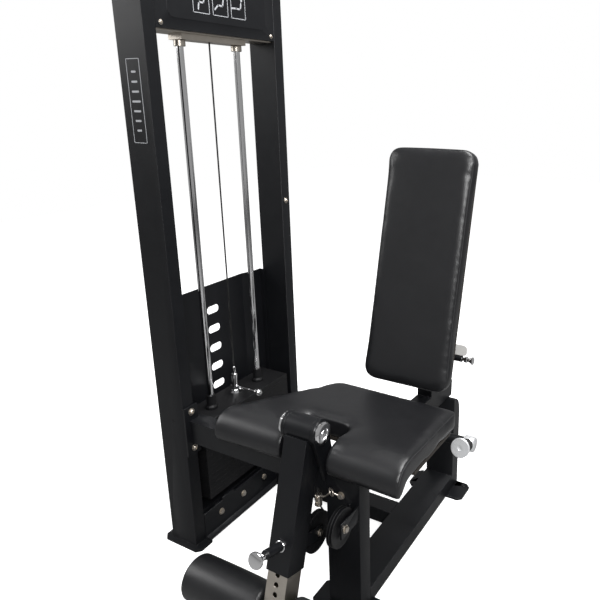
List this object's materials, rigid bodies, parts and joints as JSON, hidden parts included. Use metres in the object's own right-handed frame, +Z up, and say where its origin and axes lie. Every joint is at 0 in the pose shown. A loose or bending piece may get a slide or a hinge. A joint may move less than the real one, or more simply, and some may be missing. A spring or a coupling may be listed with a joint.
{
  "type": "leg extension machine",
  "caption": "Seated leg extension machine: padded seat and back rest beside a tall selectorised weight stack, with a swinging shin-roller lever.",
  "frame": {"origin": "centre of the footprint's bounding box, on the floor", "axes": "+Z up, -Y the way the user faces, +X from the weight tower towards the seat"},
  "size_m": [0.876, 0.9114, 1.78],
  "materials": {
    "powder_coat": "satin black powder coat",
    "zinc_plate": "warm zinc plating",
    "chrome": "polished",
    "stack_iron": "black painted iron",
    "upholstery": "black grained vinyl",
    "rubber": "matt",
    "plastic": "moulded black",
    "cable_jacket": "black jacket over steel rope",
    "plywood": "black stained board",
    "aluminium": "turned"
  },
  "bodies": {
    "frame": {"tower_front_post": "powder_coat", "tower_rear_post": "powder_coat", "tower_head_beam": "powder_coat", "tower_base": "powder_coat", "stack_shroud": "powder_coat", "placard": "powder_coat", "seat_beam": "powder_coat", "seat_front_post": "powder_coat", "seat_base": "powder_coat", "base_bar": "powder_coat", "yoke_left": "powder_coat", "yoke_right": "powder_coat", "handle_bar": "powder_coat", "back_frame": "powder_coat", "rod_beam": "zinc_plate", "index_plate": "zinc_plate", "front_guide_rod": "chrome", "rear_guide_rod": "chrome", "pivot_shaft": "chrome", "pivot_cap": "chrome", "weight_plates_lower": "stack_iron", "weight_plate_1": "stack_iron", "weight_plate_2": "stack_iron", "weight_plate_3": "stack_iron", "weight_plate_4": "stack_iron", "weight_plate_5": "stack_iron", "weight_plate_6": "stack_iron", "seat_cushion": "upholstery", "front_bumper": "rubber", "rear_bumper": "rubber", "handle_grip_left": "rubber", "handle_grip_right": "rubber", "cable_run": "cable_jacket", "drop_cable": "cable_jacket", "lever_cable": "cable_jacket", "seat_board": "plywood", "handle_end_left": "aluminium", "handle_end_right": "aluminium"},
    "stack": {"top_plate": "stack_iron", "front_rod_bushing": "plastic", "rear_rod_bushing": "plastic", "selector_stem": "chrome"},
    "selector": {"selector_pin": "chrome"},
    "top_front_wheel": {"top_pulley_front": "plastic"},
    "top_rear_wheel": {"top_pulley_rear": "plastic"},
    "post_wheel": {"post_pulley": "plastic"},
    "beam_wheel": {"beam_pulley": "plastic"},
    "frame_wheel": {"frame_pulley": "plastic"},
    "lever": {"lever_arm": "powder_coat", "lever_bearing": "aluminium", "lever_pin_housing": "powder_coat"},
    "lever_wheel": {"lever_pulley": "plastic"},
    "lever_pull_pin": {"lever_pin": "chrome"},
    "shin": {"shin_tube": "zinc_plate"},
    "left_roller": {"shin_roller_left": "upholstery"},
    "right_roller": {"shin_roller_right": "upholstery"},
    "back_rest": {"back_slide": "zinc_plate", "back_board": "plywood", "back_pad": "upholstery"},
    "back_pull_pin": {"back_pin": "chrome"}
  },
  "joints": [
    {"name": "lever_pivot", "type": "hinge", "parent": "frame", "child": "lever", "pos_m": [0.122, -0.23832, 0.542], "axis": [-1, 0, 0], "range_deg": [0, 75]},
    {"name": "stack_lift", "type": "slide", "parent": "frame", "child": "stack", "axis": [0, 0, 1], "range_m": [0, 0.21], "deforming": ["drop_cable"]},
    {"name": "selector_pull", "type": "slide", "parent": "stack", "child": "selector", "axis": [1, 0, 0], "range_m": [0, 0.04]},
    {"name": "top_front_spin", "type": "hinge", "parent": "frame", "child": "top_front_wheel", "pos_m": [-0.363, -0.16062, 1.64], "axis": [1, 0, 0], "range_deg": [0, 252]},
    {"name": "top_rear_spin", "type": "hinge", "parent": "frame", "child": "top_rear_wheel", "pos_m": [-0.363, -0.01402, 1.64], "axis": [1, 0, 0], "range_deg": [0, 252]},
    {"name": "post_spin", "type": "hinge", "parent": "frame", "child": "post_wheel", "pos_m": [-0.3563, -0.20832, 0.4287], "axis": [0, -1, 0], "range_deg": [0, 419]},
    {"name": "beam_spin", "type": "hinge", "parent": "frame", "child": "beam_wheel", "pos_m": [0.1073, -0.20832, 0.3713], "axis": [0, 1, 0], "range_deg": [0, 419]},
    {"name": "frame_wheel_spin", "type": "hinge", "parent": "frame", "child": "frame_wheel", "pos_m": [0.252, -0.28332, 0.327], "axis": [-1, 0, 0], "range_deg": [0, 263]},
    {"name": "lever_wheel_spin", "type": "hinge", "parent": "lever", "child": "lever_wheel", "pos_m": [0.136, -0.2269, 0.2304], "axis": [1, 0, 0], "range_deg": [0, 150]},
    {"name": "lever_pin_push", "type": "slide", "parent": "lever", "child": "lever_pull_pin", "axis": [0, 0.9573, -0.289], "range_m": [0, 0.01]},
    {"name": "shin_adjust", "type": "slide", "parent": "lever", "child": "shin", "axis": [0, 0.289, 0.9573], "range_m": [0, 0.075]},
    {"name": "left_roller_spin", "type": "hinge", "parent": "shin", "child": "left_roller", "pos_m": [-0.038, -0.37821, 0.07866], "axis": [1, 0, 0], "continuous": true},
    {"name": "right_roller_spin", "type": "hinge", "parent": "shin", "child": "right_roller", "pos_m": [0.282, -0.37821, 0.07866], "axis": [1, 0, 0], "continuous": true},
    {"name": "back_adjust", "type": "slide", "parent": "frame", "child": "back_rest", "axis": [0, 1, 0], "range_m": [-0.06, 0.03]},
    {"name": "back_pin_push", "type": "slide", "parent": "frame", "child": "back_pull_pin", "axis": [-1, 0, 0], "range_m": [0, 0.008]}
  ],
  "couplings": [
    {"joint": "stack_lift", "follows": "lever_pivot", "m_per_rad": 0.16},
    {"joint": "top_front_spin", "follows": "lever_pivot", "ratio": 3.3543},
    {"joint": "top_rear_spin", "follows": "lever_pivot", "ratio": 3.3543},
    {"joint": "post_spin", "follows": "lever_pivot", "ratio": 5.5749},
    {"joint": "beam_spin", "follows": "lever_pivot", "ratio": 5.5749},
    {"joint": "frame_wheel_spin", "follows": "lever_pivot", "ratio": 3.5011},
    {"joint": "lever_wheel_spin", "follows": "lever_pivot", "ratio": 2}
  ]
}
